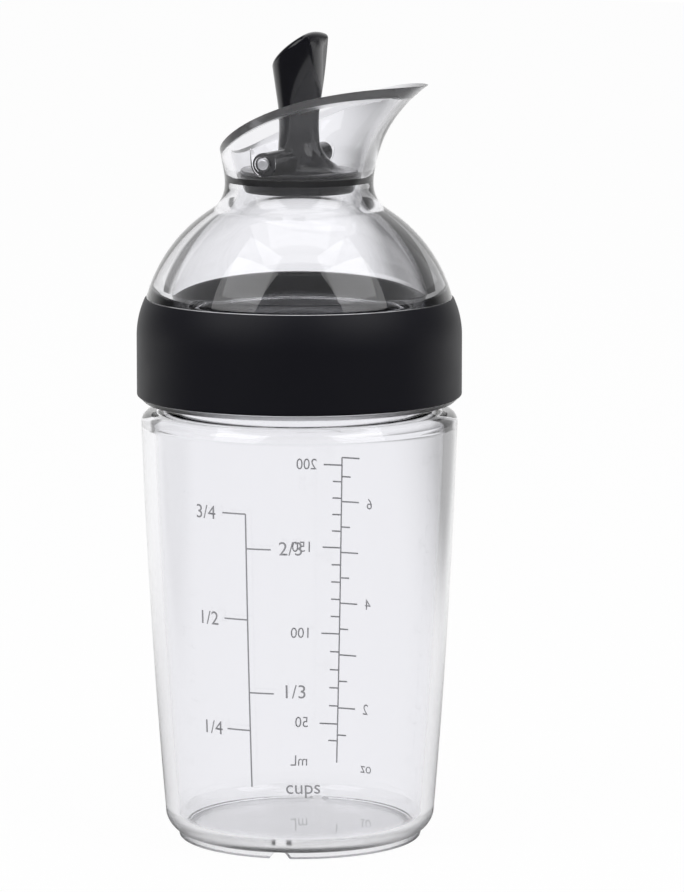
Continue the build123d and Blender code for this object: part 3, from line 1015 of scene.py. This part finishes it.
class SHAKER_OT_scales(Operator):
    """Prints the cup scale and the volume scale on the bottle"""

    bl_idname = "shaker.scales"
    bl_label = "Printed scales"

    def execute(self, context):
        s, look = context.scene.shaker_bottle, context.scene.shaker_print
        tints = context.scene.shaker_finishes
        flat = {"Roughness": 0.6, "Drift": 0.1, "Grain": 0.3, "Wave": 0.0}
        near = finish("Cup ink", tints.near_ink, surface=flat)
        far = finish("Volume ink", tints.far_ink, surface=flat)
        scale("cup_scale", near, look.cup_turn, s, look, CUP_LINE, CUP_MARKS, CUP_WORDS, look.cup_text)
        marks = [(z, 0.0, LONG_MARK) for z in MILLILITRE_HEIGHTS]
        for high, low in zip(MILLILITRE_HEIGHTS, MILLILITRE_HEIGHTS[1:]):
            marks += [(high + (low - high) * i / 5, 0.0, SHORT_MARK) for i in range(1, 5)]
        marks.append((LAST_MILLILITRES, 0.0, SHORT_MARK))
        marks += [(z, -LONG_MARK, 0.0) for z in OUNCE_HEIGHTS]
        marks += [(z, -SHORT_MARK, 0.0) for z in HALF_OUNCE_HEIGHTS]
        scale(
            "volume_scale", far, look.volume_turn, s, look, VOLUME_LINE, marks, VOLUME_WORDS,
            look.volume_text,
        )
        return {"FINISHED"}


# Stage

def ramp(tree, value, start, end):
    """Output that rises smoothly from 0 to 1 as a value goes from start to end."""
    node = tree.nodes.new("ShaderNodeMapRange")
    node.interpolation_type = "SMOOTHSTEP"
    tree.links.new(value, node.inputs["Value"])
    node.inputs["From Min"].default_value = start
    node.inputs["From Max"].default_value = end
    return node.outputs["Result"]


def between(tree, value, start, end):
    """Output that is 1 between two soft edges and 0 outside them."""
    return maths(tree, "SUBTRACT", ramp(tree, value, *start), ramp(tree, value, *end))


def backdrop_axes(tree, output, azimuth):
    """Sockets for the way to the right of, along and above the photograph's line of sight."""
    place = tree.nodes.new("ShaderNodeTexCoord")
    turned_by = tree.nodes.new("ShaderNodeVectorRotate")
    turned_by.rotation_type = "Z_AXIS"
    turned_by.inputs["Angle"].default_value = -azimuth
    split = tree.nodes.new("ShaderNodeSeparateXYZ")
    tree.links.new(place.outputs[output], turned_by.inputs["Vector"])
    tree.links.new(turned_by.outputs[0], split.inputs[0])
    return split.outputs


def backdrop(tree, field, behind, dim):
    """Whether a ray sees the white backdrop, and how bright: plain, through plastic or in gloss."""
    path = tree.nodes.new("ShaderNodeLightPath")
    camera, glossy, clear = (
        path.outputs[label] for label in ("Is Camera Ray", "Is Glossy Ray", "Is Transmission Ray")
    )
    seen = maths(tree, "MAXIMUM", maths(tree, "MAXIMUM", camera, glossy), clear)
    mirrored = maths(tree, "SUBTRACT", glossy, clear, clamp=True)
    gloss = maths(tree, "MULTIPLY_ADD", behind, 1.0 - dim, dim)
    bright = maths(tree, "MULTIPLY_ADD", mirrored, gloss, camera)
    return seen, maths(tree, "MULTIPLY_ADD", clear, field, bright)


def mix_surface(tree, share, lit, white, end):
    """Joins a lit shader and the white of the backdrop by a share, and leads them to the output."""
    mix = tree.nodes.new("ShaderNodeMixShader")
    for output, socket in zip((share, lit.outputs[0], white.outputs[0]), mix.inputs):
        tree.links.new(output, socket)
    tree.links.new(mix.outputs[0], tree.nodes[end].inputs["Surface"])


class SHAKER_OT_stage(Operator):
    """Sets up the floor, the surroundings, the soft lights and the camera"""

    bl_idname = "shaker.stage"
    bl_label = "Stage"

    def execute(self, context):
        scene, s = context.scene, context.scene.shaker_stage
        scene.view_settings.view_transform = "Standard"
        self.floor(s)
        self.surroundings(scene, s)
        self.lights(s)
        self.camera(scene, s)
        return {"FINISHED"}

    def floor(self, s):
        """Lays a pale floor that takes the object's shadow."""
        bpy.ops.object.select_all(action="DESELECT")
        bpy.ops.mesh.primitive_plane_add(size=2 * s.floor_half)
        floor = named("studio_floor")
        material = bpy.data.materials.new("Studio floor")
        material.use_nodes = True
        tree = material.node_tree
        shader = tree.nodes["Principled BSDF"]
        shader.inputs["Base Color"].default_value = (0.86, 0.86, 0.87, 1.0)
        shader.inputs["Roughness"].default_value = 0.8
        shader.inputs["Specular IOR Level"].default_value = 0.0
        right, ahead, _ = backdrop_axes(tree, "Object", s.azimuth)
        aside = maths(
            tree, "MULTIPLY", ramp(tree, right, *FLOOR_RIGHT), ramp(tree, ahead, *FLOOR_AHEAD)
        )
        field = maths(tree, "MULTIPLY_ADD", aside, -s.floor_fade, 1.0)
        seen, bright = backdrop(tree, field, ramp(tree, ahead, *FLOOR_BEHIND), s.gloss_level)
        glow = tree.nodes.new("ShaderNodeEmission")
        tree.links.new(bright, glow.inputs["Color"])
        share = maths(tree, "MULTIPLY", seen, s.floor_white)
        mix_surface(tree, share, shader, glow, "Material Output")
        floor.data.materials.append(material)

    def surroundings(self, scene, s):
        """Puts a white backdrop all round, with darker sides that clear plastic shows."""
        world = bpy.data.worlds.new("Studio")
        scene.world = world
        world.use_nodes = True
        tree = world.node_tree
        base = tree.nodes["Background"]
        base.inputs["Color"].default_value = (1.0, 1.0, 1.0, 1.0)
        base.inputs["Strength"].default_value = s.world_level
        right, ahead, above = backdrop_axes(tree, "Generated", s.azimuth)
        swing = maths(tree, "ARCTAN2", right, ahead)
        past = between(tree, swing, RIGHT_START, RIGHT_END)
        left = maths(tree, "MULTIPLY", swing, -1.0)
        before = between(tree, left, LEFT_START, LEFT_END)
        dark = maths(tree, "MULTIPLY_ADD", before, LEFT_SHARE, past, clamp=True)
        high = between(tree, above, SIDE_FOOT, SIDE_HEAD)
        sides = maths(tree, "MULTIPLY", maths(tree, "MULTIPLY", dark, high), s.side_fade)
        room = ramp(tree, ahead, *ROOM_END)
        front = maths(tree, "MULTIPLY_ADD", room, s.front_fade, -s.front_fade)
        field = maths(tree, "SUBTRACT", maths(tree, "ADD", front, 1.0), sides, clamp=True)
        seen, bright = backdrop(tree, field, ramp(tree, ahead, *WALL_START), s.gloss_level)
        white = tree.nodes.new("ShaderNodeBackground")
        tree.links.new(bright, white.inputs["Color"])
        mix_surface(tree, seen, base, white, "World Output")

    def lights(self, s):
        """Hangs the soft lamps round the object."""
        target = Vector((0.0, 0.0, s.aim_height))
        for name, swing, lift, away, width, tall, power in LAMPS:
            lift, swing = math.radians(lift), math.radians(swing) + s.azimuth
            flat = math.cos(lift)
            where = Vector((math.sin(swing) * flat, -math.cos(swing) * flat, math.sin(lift)))
            bpy.ops.object.light_add(type="AREA", location=target + where * away)
            lamp = bpy.context.object
            lamp.name = name
            lamp.data.shape = "RECTANGLE"
            lamp.data.size, lamp.data.size_y = width, tall
            lamp.data.energy = power
            lamp.rotation_euler = where.to_track_quat("Z", "Y").to_euler()

    def camera(self, scene, s):
        """Puts the camera where the photograph was taken."""
        cos, sin = math.cos(s.azimuth), math.sin(s.azimuth)
        place = Vector((s.distance * sin, -s.distance * cos, s.camera_height))
        aim = Vector((s.aim_side * cos, s.aim_side * sin, s.aim_height))
        bpy.ops.object.camera_add(location=place)
        camera = bpy.context.object
        camera.name = "photo_camera"
        camera.rotation_euler = (place - aim).to_track_quat("Z", "Y").to_euler()
        camera.data.lens = s.lens
        scene.camera = camera


class SHAKER_PT_panel(Panel):
    """Lists the pieces of the shaker bottle"""

    bl_label = "Shaker Bottle"
    bl_idname = "SHAKER_PT_panel"
    bl_space_type = "VIEW_3D"
    bl_region_type = "UI"
    bl_category = "Shaker"

    def draw(self, context):
        for step in STEPS:
            self.layout.operator(step.bl_idname)


STEPS = (
    SHAKER_OT_bottle, SHAKER_OT_lid, SHAKER_OT_band,
    SHAKER_OT_stopper, SHAKER_OT_scales, SHAKER_OT_stage,
)
GROUPS = {
    "shaker_bottle": BottleSizes, "shaker_lid": LidSizes, "shaker_spout": SpoutSizes,
    "shaker_hinge": HingeSizes, "shaker_band": BandSizes, "shaker_print": PrintSizes,
    "shaker_stage": StageSizes, "shaker_finishes": Finishes,
}


def register():
    """Registers the classes and hangs the property groups on the scene."""
    for cls in (*GROUPS.values(), *STEPS, SHAKER_PT_panel):
        bpy.utils.register_class(cls)
    for name, cls in GROUPS.items():
        setattr(bpy.types.Scene, name, PointerProperty(type=cls))


def unregister():
    """Takes the property groups and the classes away again."""
    for name in GROUPS:
        delattr(bpy.types.Scene, name)
    for cls in reversed((*GROUPS.values(), *STEPS, SHAKER_PT_panel)):
        bpy.utils.unregister_class(cls)


def main():
    """Registers the add-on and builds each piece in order."""
    register()
    bpy.ops.shaker.bottle()
    bpy.ops.shaker.lid()
    bpy.ops.shaker.band()
    bpy.ops.shaker.stopper()
    bpy.ops.shaker.scales()
    bpy.ops.shaker.stage()


if __name__ == "__main__":
    main()
